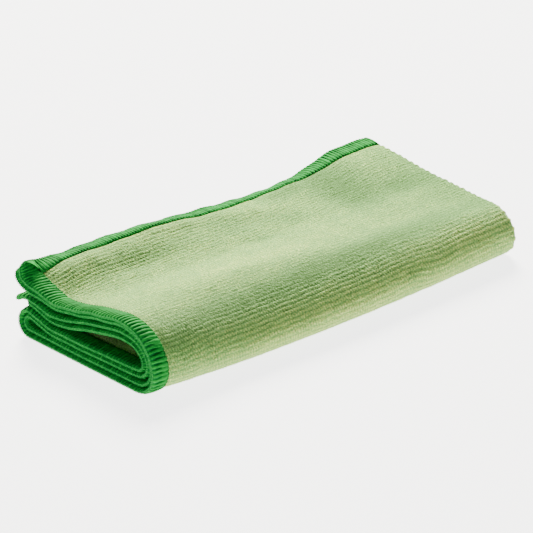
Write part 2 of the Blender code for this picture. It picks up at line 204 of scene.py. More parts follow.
PRESSED_FROM, PRESSED_EASE = 8.0, 12.0  # the pile is pressed down towards the bottom leaf
PILE_FROM, PILE_EASE = 6.6, 1.2  # the pile starts this far from the cloth's edge
BESIDE_HEM = 0.72  # the needle's thread draws the pile down to this share beside the hem
BESIDE_FROM, BESIDE_EASE = 7.6, 3.4  # this far from the cloth's edge
HEM_BASE = 0.80  # height of the cloth under the hem's thread
INNER_FACE = 0.9  # depth of the plain inner face below the middle
BED_TO, INNER_BED_TO = 7.3, 7.4  # the thread's bed reaches this far from the edge
INNER_PILE = 0.3  # how much of a loop the plain inner face looks like
SHOWN_PAST, LESS_PAST = 4.0, 6.0  # the mesh stays fine this far past a fold
MOUTH_DEPTH = 45.0  # how far in between the leaves the near end lets one look
TURN_LINES = 7  # lines of the mesh across the far turn, with those at its ends
FLAT_MAP = 800.0  # millimetres to one unit of the flat cloth's UV map
INNER_ASIDE = 360.0  # the inner face lies this far beside the outer one on it
HEM_LINES = (0.0, 0.6, 1.4, 2.8, 4.4, 6.0, 7.0, 7.8)
LESS_SEEN_EVERY = 3  # of the lines along the ribs, these are kept where little is seen
HIDDEN_EVERY = 9  # and these where other leaves lie over them

# The overlocked hem: a stitch's path from its inner end round the edge and back beneath, in
# rows: distance from the edge, height, width of the thread, its half thickness
STITCH_PITCH = 1.66
STITCH_ROWS = (
    (7.9, 0.60, 1.5, 0.12),
    (7.2, 0.86, 2.0, 0.24),
    (6.2, 0.96, 2.1, 0.28),
    (5.0, 1.02, 2.0, 0.30),
    (3.8, 1.04, 1.62, 0.31),
    (2.6, 1.02, 1.22, 0.31),
    (1.4, 0.92, 1.12, 0.30),
    (0.5, 0.74, 1.3, 0.28),
    (-0.26, 0.0, 1.42, 0.26),
    (0.5, -0.74, 1.3, 0.26),
    (2.0, -0.92, 1.2, 0.26),
    (4.6, -0.98, 1.9, 0.24),
    (7.4, -0.75, 1.6, 0.14),
)
STITCH_SIDES = 6
STITCH_SLANT = 0.5  # how far a stitch leans along the hem over its width
CORNER_LEFT = 7.2  # the rims' stitches stop this far from a corner, at the crossing hem
TONE_SEED = 4
THREAD_SIDES = 6
THREAD_STEPS = 5  # points of a waving thread for each stitch
STRIP_MAP = 1500.0  # millimetres to one unit of the strip's UV map
STRIP_MAP_EDGE = 0.05  # the cloth's edge lies here across it


def smooth(t):
    """0 below 0, 1 above 1, and a soft rise between."""
    t = np.clip(t, 0.0, 1.0)
    return t * t * (3.0 - 2.0 * t)


def evenly(pair, x):
    """A size that changes evenly from the near end to the far end."""
    return pair[0] + (pair[1] - pair[0]) * x / LENGTH


def column(all_rows, columns, name, x):
    """A column of a table of cross-sections at x, as a smooth curve through its rows."""
    table = np.array(all_rows)
    rows, values = table[:, 0], table[:, columns.index(name)]
    slopes = np.gradient(values, rows)
    slopes[[0, -1]] = 0.0
    i = int(np.clip(np.searchsorted(rows, x) - 1, 0, len(rows) - 2))
    width = rows[i + 1] - rows[i]
    t = (x - rows[i]) / width
    start = (1 + 2 * t) * (1 - t) ** 2 * values[i] + t * (1 - t) ** 2 * width * slopes[i]
    end = t * t * (3 - 2 * t) * values[i + 1] - t * t * (1 - t) * width * slopes[i + 1]
    return start + end


def top(name, x):
    return column(TOP_ROWS, TOP_COLUMNS, name, x)


def front(name, x):
    return column(FRONT_ROWS, FRONT_COLUMNS, name, x)


def spline(points, steps=10):
    """A centripetal Catmull-Rom curve through the points."""
    p = np.array(points, float)
    p = np.vstack((2 * p[0] - p[1], p, 2 * p[-1] - p[-2]))
    knots = np.concatenate(((0.0,), np.cumsum(np.linalg.norm(np.diff(p, axis=0), axis=1) ** 0.5)))
    curve = []
    for i in range(1, len(p) - 2):
        t0, t1, t2, t3 = knots[i - 1:i + 3]
        t = np.linspace(t1, t2, steps, endpoint=False)[:, None]
        a1 = (t1 - t) / (t1 - t0) * p[i - 1] + (t - t0) / (t1 - t0) * p[i]
        a2 = (t2 - t) / (t2 - t1) * p[i] + (t - t1) / (t2 - t1) * p[i + 1]
        a3 = (t3 - t) / (t3 - t2) * p[i + 1] + (t - t2) / (t3 - t2) * p[i + 2]
        b1 = (t2 - t) / (t2 - t0) * a1 + (t - t0) / (t2 - t0) * a2
        b2 = (t3 - t) / (t3 - t1) * a2 + (t - t1) / (t3 - t1) * a3
        curve.append((t2 - t) / (t2 - t1) * b1 + (t - t1) / (t2 - t1) * b2)
    return np.vstack(curve + [p[-2:-1]])


def along(line):
    """Unit directions along a line of points."""
    step = np.gradient(line, axis=0)
    return step / np.linalg.norm(step, axis=1)[:, None]


def turn(centre, reach, rise, lean, start, end, count):
    """A fold seen from its end: part of a leaning ellipse, in quarter turns from its top."""
    angle = np.linspace(start, end, count) * pi / 2
    y = centre[0] + reach * np.sin(angle) + lean * np.cos(angle)
    return np.column_stack((y, centre[1] + rise * np.cos(angle)))


def front_fold(x, crest_z, bottom_z, count):
    """The outer front fold seen from its end: slanted above its foremost line and round below."""
    front_y = evenly(FRONT, x) - FRONT_BOW * np.sin(pi * x / LENGTH)
    angle = np.linspace(0.0, pi, count)
    forward, up = np.sin(angle), np.cos(angle)
    power = 1.0 + SLANT * front("slant", x)
    upper_y = front("reach_up", x) * (1.0 - forward ** power)
    lower_y = front("reach_down", x) * (1.0 - forward)
    widest_z = front("widest_z", x)
    upper_z = (crest_z - widest_z) * np.maximum(up, 0.0) ** power
    lower_z = (widest_z - bottom_z) * np.minimum(up, 0.0)
    return np.column_stack((front_y + np.where(up > 0.0, upper_y, lower_y), widest_z + upper_z + lower_z))


def stretches(x):
    """The points that shape the seven stretches of the middle line at x."""
    thick = SHEET + (HEM - SHEET) * (1.0 - smooth((x - HEM_WIDTH - HEM_STAGGER) / HEM_EASE))
    pair = 2.0 * (thick + GAP)
    bottom_z = thick + GAP / 2.0
    third_z = bottom_z + pair
    loop = top("loop", x)
    crest_z = top("crest_z", x)
    hollow_z = top("hollow_z", x)
    hem_y, hem_z = top("hem_y", x), top("hem_z", x)
    second_y = top("second_y", x)

    outer_fold = front_fold(x, crest_z, bottom_z, OUTER_POINTS)
    fold_top = outer_fold[0, 0]

    back_rise = (pair + loop) / 2.0
    back = (evenly(BACK, x) - back_rise, bottom_z + back_rise)
    back_fold = turn(back, back_rise, back_rise, 0.0, 2.0, 0.0, BACK_POINTS)
    round_back = back_rise + pair

    crest_y = fold_top + front("crest_back", x)
    hollow_y = crest_y + front("hollow_share", x) * (hem_y - crest_y)
    top_leaf = np.array((
        (top("rim_y", x), top("rim_z", x)),
        (hem_y, hem_z),
        (hollow_y + HOLLOW_BACK, hollow_z + HOLLOW_LIFT * (hem_z - hollow_z)),
        (hollow_y - HOLLOW_FRONT, hollow_z),
        (0.5 * (crest_y + hollow_y), TO_HOLLOW * hollow_z + (1.0 - TO_HOLLOW) * crest_z),
        (crest_y, crest_z - CREST_EASE)))
    fine = front_fold(x, crest_z, bottom_z, CLEAR_POINTS)
    foremost = CLEAR_POINTS // 2
    top_line = np.vstack((fine[foremost::-1], spline(top_leaf)[::-1]))

    # the inner front fold lies as near to the outer one as the doubled sheet lets it
    inner_reach, inner_rise = front("inner_reach", x), front("inner_rise", x)
    centre = (fine[foremost, 0] + pair + inner_reach, third_z + inner_rise)
    inner = turn(centre, inner_reach, inner_rise, front("inner_lean", x), -2.0, 0.0, INNER_POINTS)
    while np.min(np.linalg.norm(fine[:, None, :] - inner[None, :, :], axis=2)) < pair:
        inner[:, 0] += INNER_STEP
    inner_y = inner[-1, 0]

    def third_height(y):
        share = (y - inner_y) / (back[0] - inner_y)
        return third_z + loop * smooth((share - LOOP_FROM) / LOOP_OVER)

    def second_height(y):
        """On the third leaf at the back, and carried up under the top leaf at the front."""
        share = (y - inner_y) / (back[0] - inner_y)
        above = np.interp(y, top_line[:, 0], top_line[:, 1])
        slope = np.interp(y + 1, top_line[:, 0], top_line[:, 1]) - above
        under = above - pair * np.sqrt(1 + slope * slope)
        on_hem = smooth((y - second_y + SECOND_HEM_FROM) / SECOND_HEM_EASE)
        lying = third_height(y) + pair + (HEM - SHEET) * on_hem
        carried = np.maximum(under - lying, 0.0) * (1.0 - smooth((share - CARRIED_TO) / CARRIED_FADE))
        past_fold = np.clip(y - back[0], 0.0, FALL_REACH * round_back)
        fall = round_back - np.sqrt(round_back ** 2 - past_fold ** 2)
        droop = evenly(DROOP, x) * smooth((y - second_y + HEM_WIDTH) / HEM_WIDTH)
        return lying + carried - np.minimum(fall, droop)

    leaf_y = inner_y + (back[0] - inner_y) * np.array(LEAF_SHARES)
    second_ys = inner_y + (second_y - inner_y) * np.array(SECOND_SHARES)
    bottom_leaf = np.column_stack((leaf_y, np.full(len(leaf_y), bottom_z)))
    third_leaf = np.column_stack((leaf_y, third_height(leaf_y)))[::-1]
    second_leaf = np.column_stack((second_ys, second_height(second_ys)))
    return (top_leaf, outer_fold, bottom_leaf, back_fold, third_leaf, inner, second_leaf), bottom_z


def middle_line(x, steps=10):
    """The doubled cloth's middle line at x, and where on it each of its stretches ends."""
    parts, bottom_z = stretches(x)
    line = spline(np.vstack(parts), steps)
    line[:, 1] = np.maximum(line[:, 1], bottom_z)
    counts = np.cumsum([len(part) for part in parts])
    fold_ends = (counts[0], counts[1] - 1, counts[2], counts[3] - 1, counts[4], counts[5] - 1)
    marks = [0] + [int(end) * steps for end in fold_ends] + [len(line) - 1]
    return line, marks


def fold_tables():
    """The folded cloth's middle surface over x and over v, the distance across the flat cloth."""
    xs = np.arange(0.0, LENGTH + TABLE_STEP_X / 2, TABLE_STEP_X)
    lines, runs, all_marks = [], [], []
    for x in xs:
        line, marks = middle_line(x)
        lines.append(line)
        all_marks.append(marks)
        steps = np.linalg.norm(np.diff(line, axis=0), axis=1)
        runs.append(np.concatenate(((0.0,), np.cumsum(steps))))
    lengths = np.array([np.diff(run[marks]) for run, marks in zip(runs, all_marks)])
    flat_marks = np.concatenate(((0.0,), np.cumsum(lengths.mean(axis=0))))
    vs = np.linspace(0.0, flat_marks[-1], int(flat_marks[-1] / TABLE_STEP_V) + 1)
    folded_at = np.array([run[marks[2]] for run, marks in zip(runs, all_marks)])
    stretch = np.where(xs < NEAR_CURL, folded_at / np.interp(NEAR_CURL, xs, folded_at), 1.0)
    spread = []
    for run, marks, scale in zip(runs, all_marks, stretch):
        at = np.interp(vs, (0.0, LAID_EVENLY, vs[-1]), (0.0, LAID_EVENLY * scale, run[-1]))
        spread.append(np.interp(at, run[marks], flat_marks))
    places, normals = [], []
    for line, run, marks in zip(lines, runs, all_marks):
        at = np.interp(vs, flat_marks, run[marks])
        direction = along(line)
        tangent = np.column_stack([np.interp(at, run, direction[:, k]) for k in (0, 1)])
        tangent /= np.linalg.norm(tangent, axis=1)[:, None]
        places.append(np.column_stack([np.interp(at, run, line[:, k]) for k in (0, 1)]))
        normals.append(np.column_stack((tangent[:, 1], -tangent[:, 0])))
    return xs, vs, np.array(places), np.array(normals), flat_marks, np.array(spread)[:, :, None]


def read(table, xs, vs, x, v):
    """A table over x and v, read between its lines."""
    i = np.clip(x / (xs[1] - xs[0]), 0, len(xs) - 1.001)
    j = np.clip(v / (vs[1] - vs[0]), 0, len(vs) - 1.001)
    i0, j0 = i.astype(int), j.astype(int)
    s, t = (i - i0)[:, None], (j - j0)[:, None]
    near = table[i0, j0] * (1 - t) + table[i0, j0 + 1] * t
    far = table[i0 + 1, j0] * (1 - t) + table[i0 + 1, j0 + 1] * t
    return near * (1 - s) + far * s


def round_corners(u, v, flat_u, flat_v):
    """Draw the points near the flat cloth's four corners in to a round corner."""
    from_u, from_v = np.minimum(u, flat_u - u), np.minimum(v, flat_v - v)
    a = np.clip(1 - from_u / CORNER, 0, 1)
    b = np.clip(1 - from_v / CORNER, 0, 1)
    in_u = CORNER * a * (1 - np.sqrt(1 - b * b / 2))
    in_v = CORNER * b * (1 - np.sqrt(1 - a * a / 2))
    return u + np.where(u < flat_u / 2, in_u, -in_u), v + np.where(v < flat_v / 2, in_v, -in_v)


def to_edge(u, v, flat_u, flat_v):
    """Distance to the nearest edge of the flat cloth."""
    return np.minimum(np.minimum(u, flat_u - u), np.minimum(v, flat_v - v))


def thickness(u, v, flat_u, flat_v):
    """Thickness of the flat cloth: the terry and the thicker hem."""
    edge = to_edge(u, v, flat_u, flat_v)
    return SHEET + (HEM - SHEET) * (1.0 - smooth((edge - HEM_WIDTH + HEM_STEP / 2) / HEM_STEP))


def fold(u, v, w, tables):
    """Where points of the flat cloth lie in the folded stack; w is the height over its middle."""
    xs, vs, places, normals, flat_marks, spread = tables
    turn_x = LENGTH - SHEET - GAP / 2
    turn_radius = (SHEET + GAP) / 2
    turn_length = pi * turn_radius
    flat_u, flat_v = 2 * turn_x + turn_length, flat_marks[-1]
    body = thickness(u, v, flat_u, flat_v)
    u, v = round_corners(u, v, flat_u, flat_v)
    angle = np.clip((u - turn_x) / turn_length, 0, 1) * pi
    inner = u > flat_u / 2
    x = np.where(inner, np.minimum(flat_u - u, turn_x), np.minimum(u, turn_x))
    lift = creases(x, v)
    v = read(spread, xs, vs, x, v)[:, 0]
    middles = (flat_marks[:-1] + flat_marks[1:]) / 2
    setback_at = np.concatenate(((0.0,), middles, (flat_v,)))
    setback = dict(zip(SETBACK_COLUMNS, zip(*SETBACK_ROWS)))
    outer_back = np.interp(v, setback_at, setback["outer_sheet"])
    inner_back = np.interp(v, setback_at, setback["inner_sheet"])
    near = 1.0 - smooth(x / SETBACK_REACH)
    v = v + TOP_RIM_CUT * near * inner * (1.0 - smooth(v / RIM_CUT_REACH))
    v = v - SECOND_RIM_CUT * near * ~inner * smooth((v - flat_v + RIM_CUT_REACH) / RIM_CUT_REACH)
    x = x + near * np.where(inner, inner_back, outer_back)
    place, normal = read(places, xs, vs, x, v), read(normals, xs, vs, x, v)
    normal /= np.linalg.norm(normal, axis=1)[:, None]
    side = np.cos(angle) * ((body + GAP) / 2 + w) + lift
    yz = place + side[:, None] * normal
    x = x + (turn_radius + w) * np.sin(angle)
    return np.column_stack((x - MIDDLE_X, yz[:, 0] - MIDDLE_Y, yz[:, 1]))


def unevenness(a, b, step_a, step_b, seed):
    """Smooth random heights between -1 and 1 over two directions."""
    rows, columns = int(np.max(a) / step_a) + 3, int(np.max(b) / step_b) + 3
    lattice = np.random.RandomState(seed).uniform(-1.0, 1.0, (rows, columns))
    i, j = np.maximum(a, 0) / step_a, np.maximum(b, 0) / step_b
    i0, j0 = i.astype(int), j.astype(int)
    s, t = smooth(i - i0), smooth(j - j0)
    near = lattice[i0, j0] * (1 - t) + lattice[i0, j0 + 1] * t
    far = lattice[i0 + 1, j0] * (1 - t) + lattice[i0 + 1, j0 + 1] * t
    return near * (1 - s) + far * s


def swells(rows, x, v):
    """The sum of a table's soft patches, at x from the near hems and at v."""
    total = np.zeros(len(x))
    for swell in (dict(zip(SWELL_COLUMNS, row)) for row in rows):
        c, s = cos(radians(swell["turn"])), sin(radians(swell["turn"]))
        from_x, from_v = x - swell["x"], v - swell["v"]
        a = (c * from_x + s * from_v) / swell["half_length"]
        b = (c * from_v - s * from_x) / swell["half_width"]
        total += swell["height"] * np.exp(-SWELL_FALL * (a * a + b * b))
    return total


def creases(x, v):
    """How far the top leaf is lifted off its plain fold, at x from the near hems and at v."""
    lift = swells(CREASE_ROWS, x, v)
    drifted = x + PUCKER_DRIFT * np.sin(x / PUCKER_DRIFT_LENGTH)
    waves = np.sin(2 * pi * drifted / PUCKER_LENGTH) * np.exp(-v / PUCKER_REACH)
    waves += np.sin(2 * pi * v / PUCKER_LENGTH + PUCKER_START) * np.exp(-x / PUCKER_REACH)
    fade = 1.0 - smooth((v - CREASES_END) / CREASES_FADE)
    return (lift + PUCKER * waves) * fade


def flat_size(tables):
    turn_x = LENGTH - SHEET - GAP / 2
    return turn_x, 2 * turn_x + pi * (SHEET + GAP) / 2, tables[4][-1]


def terry_lines(tables):
    """Lines of the terry's mesh on the flat cloth, with the pile's share of a rib on each."""
    turn_x, flat_u, flat_v = flat_size(tables)
    hem = np.array(HEM_LINES)
    loops = int(round((turn_x - hem[-1]) / LOOP)) * 2
    half = np.concatenate((hem, np.linspace(hem[-1], turn_x, loops + 1)[1:]))
    across_turn = np.linspace(turn_x, flat_u - turn_x, TURN_LINES)[1:-1]
    us = np.concatenate((half, across_turn, (flat_u - half)[::-1]))
    half_line = np.maximum(np.arange(len(half)) - len(hem) + 1, 0)
    loop_line = np.concatenate((half_line, np.zeros(len(across_turn), int), half_line[::-1]))

    ribs = int(round((flat_v - 2 * hem[-1]) / RIB_PITCH))
    pitch = (flat_v - 2 * hem[-1]) / ribs
    starts = hem[-1] + pitch * np.arange(ribs)
    lines = (starts[:, None] + pitch * np.array(RIB_LINES)[None, :]).ravel()
    vs = np.concatenate((hem[:-1], lines, (flat_v - hem)[::-1]))
    rib_line = np.tile(np.arange(len(RIB_LINES)), ribs)
    rib_line = np.concatenate((np.full(len(hem) - 1, -1), rib_line, np.full(len(hem), -1)))
    return us, vs, loop_line, rib_line


def kept_lines(us, loop_line, rib_line):
    """The lines kept where less of the pile shows, and those where it is hidden."""
    in_turn = (us > LENGTH - SHEET) & (us < LENGTH + SHEET)
    less_u = (loop_line % LESS_SEEN_EVERY == 0) | in_turn
    hidden_u = (loop_line % HIDDEN_EVERY == 0) | in_turn
    return (less_u, rib_line != 2), (hidden_u, rib_line < 1)


def snap(kept):
    """For each line, the last kept one at or before it."""
    order = np.where(kept, np.arange(len(kept)), 0)
    return np.maximum.accumulate(order)


def edge_share(edge):
    """The cloth's half thickness at its round edge, as a share of that under the hem's thread."""
    return 0.5 + 0.5 * np.clip(edge / HEM_EDGE, 0, 1) ** 0.5


def pile_heights(u, v, loop_line, rib_line, tables):
    """Height of the cloth's outer face over its middle, and the pile's share of a full loop, which deepens
    the colour down in the grooves, partly as painted shade.
    """
    _, flat_u, flat_v = flat_size(tables)
    edge = to_edge(u, v, flat_u, flat_v)
    pressed = smooth((v - tables[4][2] + PRESSED_FROM) / PRESSED_EASE)
    free = np.where(u < flat_u / 2, 1.0, 0.0) * (1.0 - pressed)
    shape = np.where(rib_line < 0, 0.0, np.array(RIB_SHAPE)[rib_line])
    rib = np.floor(v / RIB_PITCH)
    drift = LOOP_DRIFT * unevenness(u, v, LOOP_DRIFT_LENGTH, RIB_PITCH, 13)
    in_full = (u < flat_u / 2) & (v < tables[4][2] + SHOWN_PAST)
    loop = 0.5 + 0.5 * np.cos(pi * (loop_line + rib_line + rib) + drift) * in_full
    grain = np.random.RandomState(11).uniform(-1.0, 1.0, len(u))
    rough = TUFT_SHARE * unevenness(u, v, TUFT_LENGTH, RIB_PITCH, 12) + (1.0 - TUFT_SHARE) * grain
    stands = PRESSED_SHARE + (1.0 - PRESSED_SHARE) * free
    crest = CREST - PILE_UNEVEN + (LOOSE_PILE + PILE_UNEVEN * rough) * stands
    share = shape * (1.0 - LOOP_DIP * (1.0 - loop) / (CREST - GROOVE))
    groove = GROOVE + SHOULDER_FILL * np.exp(-((v - SHOULDER) / SHOULDER_WIDTH) ** 2)
    pile = groove + (crest - groove) * share
    past_hem = smooth((edge - PILE_FROM) / PILE_EASE)
    pile = pile * (BESIDE_HEM + (1.0 - BESIDE_HEM) * smooth((edge - BESIDE_FROM) / BESIDE_EASE))
    height = HEM_BASE * edge_share(edge) * (1 - past_hem) + pile * past_hem
    return height, share * (1.0 - SHARE_UNEVEN + SHARE_UNEVEN * rough)


def make_terry(tables, terry, under_thread):
    """The cloth as one closed sheet: ribbed pile outside, plainer where it lies doubled."""
    _, flat_u, flat_v = flat_size(tables)
    us, vs, loop_line, rib_line = terry_lines(tables)
    nu, nv = len(us), len(vs)
    i, j = np.meshgrid(np.arange(nu), np.arange(nv), indexing="ij")
    less_kept, hidden_kept = kept_lines(us, loop_line, rib_line)
    at_u, at_v = us[snap(hidden_kept[0])[i]], vs[snap(hidden_kept[1])[j]]
    fold_ends = tables[4]
    shown = (at_u < flat_u / 2) & (at_v < fold_ends[2] + SHOWN_PAST)
    less_seen = (at_u < flat_u / 2) & (at_v < fold_ends[4] + LESS_PAST)
    less_seen |= (at_u < MOUTH_DEPTH) | (at_u > flat_u - MOUTH_DEPTH / 2)
    rows = np.where(shown, i, np.where(less_seen, snap(less_kept[0])[i], snap(hidden_kept[0])[i]))
    columns = np.where(shown, j, np.where(less_seen, snap(less_kept[1])[j], snap(hidden_kept[1])[j]))
    outer = rows * nv + columns
    border = (i == 0) | (i == nu - 1) | (j == 0) | (j == nv - 1)
    inner = np.where(border, outer, snap(hidden_kept[0])[i] * nv + snap(hidden_kept[1])[j])

    u, v = us[i].ravel(), vs[j].ravel()
    height, share = pile_heights(u, v, loop_line[i].ravel(), rib_line[j].ravel(), tables)
    edge = to_edge(u, v, flat_u, flat_v)
    wander = sum(part * unevenness(u, v, *sizes) for part, *sizes in WANDER_WAVES)
    wander *= RIB_WANDER * np.clip((np.minimum(v, flat_v - v) - WANDER_FROM) / WANDER_EASE, 0, 1)
    under = -np.where(edge < INNER_BED_TO, HEM_BASE * edge_share(edge), INNER_FACE)
    points = np.vstack((fold(u, v + wander, height, tables), fold(u, v, under, tables))) * MM

    faces, marks = [], []
    grid_edge = edge.reshape(nu, nv)
    mean_edge = (grid_edge[:-1, :-1] + grid_edge[1:, 1:]) / 2
    for table, offset, flipped in ((outer, 0, False), (inner, nu * nv, True)):
        corners = np.stack((table[:-1, :-1], table[1:, :-1], table[1:, 1:], table[:-1, 1:]), axis=-1)
        for quad, from_edge in zip(corners.reshape(-1, 4).tolist(), mean_edge.ravel().tolist()):
            face = [k + offset for n, k in enumerate(quad) if k != quad[n - 1]]
            if len(face) > 2 and len(set(face)) == len(face):
                faces.append(face[::-1] if flipped else face)
                marks.append(1 if from_edge < BED_TO else 0)
    loop = [outer[a, 0] for a in range(nu)] + [outer[-1, b] for b in range(1, nv)]
    loop += [outer[a, -1] for a in range(nu - 2, -1, -1)] + [outer[0, b] for b in range(nv - 2, -1, -1)]
    loop = [int(k) for n, k in enumerate(loop) if n == 0 or k != loop[n - 1]]
    for a, b in zip(loop[:-1], loop[1:]):
        faces.append([b, a, a + nu * nv, b + nu * nv])
        marks.append(1)

    used = np.unique(np.concatenate([np.array(face) for face in faces]))
    new_index = np.zeros(len(points), int)
    new_index[used] = np.arange(len(used))
    faces = [[int(new_index[k]) for k in face] for face in faces]
    flat = np.vstack((np.column_stack((u, v)), np.column_stack((u, v + INNER_ASIDE))))[used] / FLAT_MAP
    data = bpy.data.meshes.new("cloth_terry")
    data.from_pydata(points[used].tolist(), [], faces)
    data.materials.append(terry)
    data.materials.append(under_thread)
    data.polygons.foreach_set("material_index", marks)
    layer = data.uv_layers.new(name="flat")
    loops = np.zeros(len(data.loops), int)
    data.loops.foreach_get("vertex_index", loops)
    layer.data.foreach_set("uv", flat[loops].ravel())
    pile = data.attributes.new("pile", "FLOAT", "POINT")
    pile.data.foreach_set("value", np.concatenate((share, np.full(len(u), INNER_PILE)))[used])
    # painted shade and painted light from the patch table, on the outer face only
    painted_shade = data.attributes.new("painted_shade", "FLOAT", "POINT")
    outer_painted_shade = np.where(u < flat_u / 2, swells(PAINTED_SHADE_AND_LIGHT_ROWS, u, v), 0.0)
    painted_shade.data.foreach_set("value", np.concatenate((outer_painted_shade, np.zeros(len(u))))[used])
    data.shade_smooth()
    data.validate()
    return place_piece("cloth_terry", data)


def place_piece(name, data):
    piece = bpy.data.objects.new(name, data)
    bpy.context.scene.collection.objects.link(piece)
    return piece


# ---- the hem's thread, sewn along a straight strip and then laid round the flat cloth ----

def hem_length(tables):
    _, flat_u, flat_v = flat_size(tables)
    return 2 * (flat_u + flat_v)


def lay_hem(strip, tables):
    """Points of the straight strip (along, from the edge, height) laid round the hem and folded."""
    _, flat_u, flat_v = flat_size(tables)
    s = np.mod(strip[:, 0], hem_length(tables))
    ends = np.cumsum((flat_u, flat_v, flat_u, flat_v))
    side = np.searchsorted(ends, s, side="right")
    on_rim = CORNER_LEFT + (s - np.where(side == 2, ends[1], 0.0)) * (1.0 - 2.0 * CORNER_LEFT / flat_u)
    on_end = s - np.where(side == 1, ends[0], ends[2])
    from_edge = strip[:, 1]
    sides = (side == 0, side == 1, side == 2)
    u = np.select(sides, (on_rim, flat_u - from_edge, flat_u - on_rim), from_edge)
    v = np.select(sides, (from_edge, on_end, flat_v - from_edge), flat_v - on_end)
    return fold(u, v, strip[:, 2], tables) * MM


def new_tree(name, sockets):
    """A Geometry Nodes tree with a geometry output and the named inputs."""
    tree = bpy.data.node_groups.new(name, "GeometryNodeTree")
    tree.interface.new_socket("Geometry", in_out="INPUT", socket_type="NodeSocketGeometry")
    tree.interface.new_socket("Geometry", in_out="OUTPUT", socket_type="NodeSocketGeometry")
    for socket_name, kind in sockets:
        tree.interface.new_socket(socket_name, in_out="INPUT", socket_type="NodeSocket" + kind)
    return tree


def add(tree, kind, links=(), **settings):
    """A node with its settings, and its inputs linked from sockets or set to values."""
    node = tree.nodes.new(kind)
    for key, value in settings.items():
        setattr(node, key, value)
    for socket, value in dict(links).items():
        target = node.inputs[socket]
        if isinstance(value, bpy.types.NodeSocket):
            tree.links.new(value, target)
        else:
            target.default_value = value
    return node


def maths(tree, operation, *values):
    return add(tree, "ShaderNodeMath", dict(enumerate(values)), operation=operation)


def points_along(tree, count, distance):
    """Points in a row along the strip."""
    step = add(tree, "ShaderNodeCombineXYZ", {"X": distance})
    return add(tree, "GeometryNodeMeshLine", {"Count": count, "Offset": step.outputs[0]}, mode="OFFSET")


def ended(tree, grown_last, thread):
    """The tree, with its last shape made real and given its thread."""
    real = add(tree, "GeometryNodeRealizeInstances", {0: grown_last.outputs[0]})
    finished = add(tree, "GeometryNodeSetMaterial", {"Geometry": real.outputs[0], "Material": thread})
    add(tree, "NodeGroupOutput", {0: finished.outputs[0]})
    return tree


def random_value(tree, least, most, seed):
    links = {2: least, 3: most, "Seed": seed}
    return add(tree, "FunctionNodeRandomValue", links, data_type="FLOAT").outputs[1]


def grown(name, tree, values):
    """The plain mesh that a tree grows with these inputs."""
    carrier = place_piece(name, bpy.data.meshes.new(name))
    modifier = carrier.modifiers.new(name, "NODES")
    modifier.node_group = tree
    named = {item.name: item.identifier for item in tree.interface.items_tree if item.in_out == "INPUT"}
    for key, value in values.items():
        modifier[named[key]] = value
    carrier.update_tag()
    depsgraph = bpy.context.evaluated_depsgraph_get()
    data = bpy.data.meshes.new_from_object(carrier.evaluated_get(depsgraph))
    carrier.modifiers.remove(modifier)
    bpy.data.objects.remove(carrier)
    return data


def stitch_shape():
    """One overlock stitch on the straight strip, as a closed loop of thread round the edge."""
    rows = np.array(STITCH_ROWS)
    path = rows[:, :2]
    direction = np.gradient(path, axis=0)
    direction /= np.linalg.norm(direction, axis=1)[:, None]
    across = np.column_stack((-direction[:, 1], direction[:, 0]))
    around = (2 * np.arange(STITCH_SIDES) + 1) * pi / STITCH_SIDES
    points = []
    for (from_edge, height, width, half_thick), out in zip(rows, across):
        for angle in around:
            offset = out * half_thick * sin(angle)
            lean = STITCH_SLANT * (from_edge / HEM_WIDTH)
            points.append((width / 2 * cos(angle) + lean, from_edge + offset[0], height + offset[1]))
    faces = []
    for row in range(len(rows) - 1):
        for k in range(STITCH_SIDES):
            a, b = row * STITCH_SIDES + k, row * STITCH_SIDES + (k + 1) % STITCH_SIDES
            faces.append((a, b, b + STITCH_SIDES, a + STITCH_SIDES))
    faces.append(tuple(range(STITCH_SIDES - 1, -1, -1)))
    faces.append(tuple(range((len(rows) - 1) * STITCH_SIDES, len(rows) * STITCH_SIDES)))
    data = bpy.data.meshes.new("stitch")
    data.from_pydata(points, [], faces)
    return place_piece("stitch", data)


def stitches_tree():
    tree = new_tree("hem stitches", (("Stitch", "Object"), ("Count", "Int"), ("Pitch", "Float"),
                                     ("Turn", "Float"), ("Size", "Float"), ("Seed", "Int"),
                                     ("Thread", "Material")))
    given = add(tree, "NodeGroupInput").outputs
    line = points_along(tree, given["Count"], given["Pitch"])
    least = maths(tree, "MULTIPLY", given["Turn"], -1.0)
    turned = random_value(tree, least.outputs[0], given["Turn"], given["Seed"])
    turn = add(tree, "ShaderNodeCombineXYZ", {"Z": turned})
    small = maths(tree, "SUBTRACT", 1.0, given["Size"])
    large = maths(tree, "ADD", 1.0, given["Size"])
    size = random_value(tree, small.outputs[0], large.outputs[0], given["Seed"])
    scale = add(tree, "ShaderNodeCombineXYZ", {"X": size, "Y": 1.0, "Z": size})
    shape = add(tree, "GeometryNodeObjectInfo", {"Object": given["Stitch"]})
    sewn = add(tree, "GeometryNodeInstanceOnPoints",
               {"Points": line.outputs[0], "Instance": shape.outputs["Geometry"],
                "Rotation": turn.outputs[0], "Scale": scale.outputs[0]})
    shade = random_value(tree, 0.0, 1.0, TONE_SEED)
    toned = add(tree, "GeometryNodeStoreNamedAttribute",
                {"Geometry": sewn.outputs[0], "Name": "tone", "Value": shade},
                domain="INSTANCE", data_type="FLOAT")
    return ended(tree, toned, given["Thread"])


